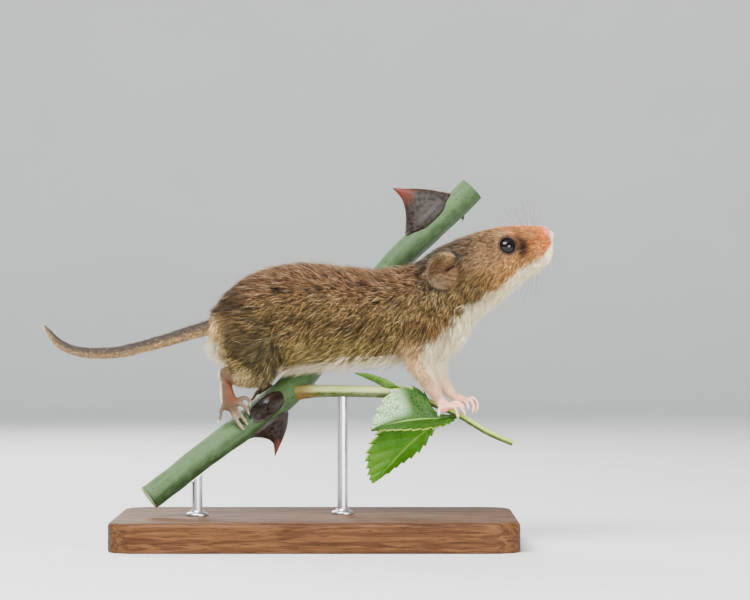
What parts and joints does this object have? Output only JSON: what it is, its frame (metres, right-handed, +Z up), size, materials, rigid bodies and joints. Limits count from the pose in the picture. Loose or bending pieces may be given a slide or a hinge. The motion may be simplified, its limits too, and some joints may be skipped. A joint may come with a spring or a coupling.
{
  "type": "harvest mouse",
  "caption": "Still, life-size harvest mouse stretching forward from a cut rose stem onto its leaf stalk, on a plain display stand.",
  "frame": {"origin": "middle of the stand base's underside", "axes": "+X forward, towards the nose; +Y the animal's left, away from the picture's camera; +Z up"},
  "size_m": [0.0876, 0.042, 0.0626],
  "materials": {
    "coat": "short dense fur, warm brown above and cream below",
    "skin": "pink bare or thinly haired skin",
    "tail": "fine rings of scale with short hairs, darker above",
    "eye": "wet black",
    "claw": "translucent pale horn",
    "stem": "green rind with a pale bloom, dark brown prickles",
    "stalk": "smooth yellow-green",
    "leaf": "thin green blade with net veins",
    "base": "satin dark wood",
    "rod": "satin"
  },
  "bodies": {
    "root": {"head": "coat", "neck": "coat", "torso": "coat", "nose": "skin", "eye_left": "eye", "eye_right": "eye", "ear_left": "skin", "ear_right": "skin", "foreleg_left": "coat", "foreleg_right": "coat", "forefoot_left": "skin", "forefoot_right": "skin", "hindleg_left": "coat", "hindleg_right": "coat", "hindfoot_left": "skin", "hindfoot_right": "skin", "tail_root": "tail", "tail_middle": "tail", "tail_tip": "tail", "perch_stem": "stem", "perch_stalk": "stalk", "perch_leaflet_upper": "leaf", "perch_leaflet_lower": "leaf", "stand_base": "base", "stand_rod_rear": "rod", "stand_rod_front": "rod"}
  },
  "joints": []
}
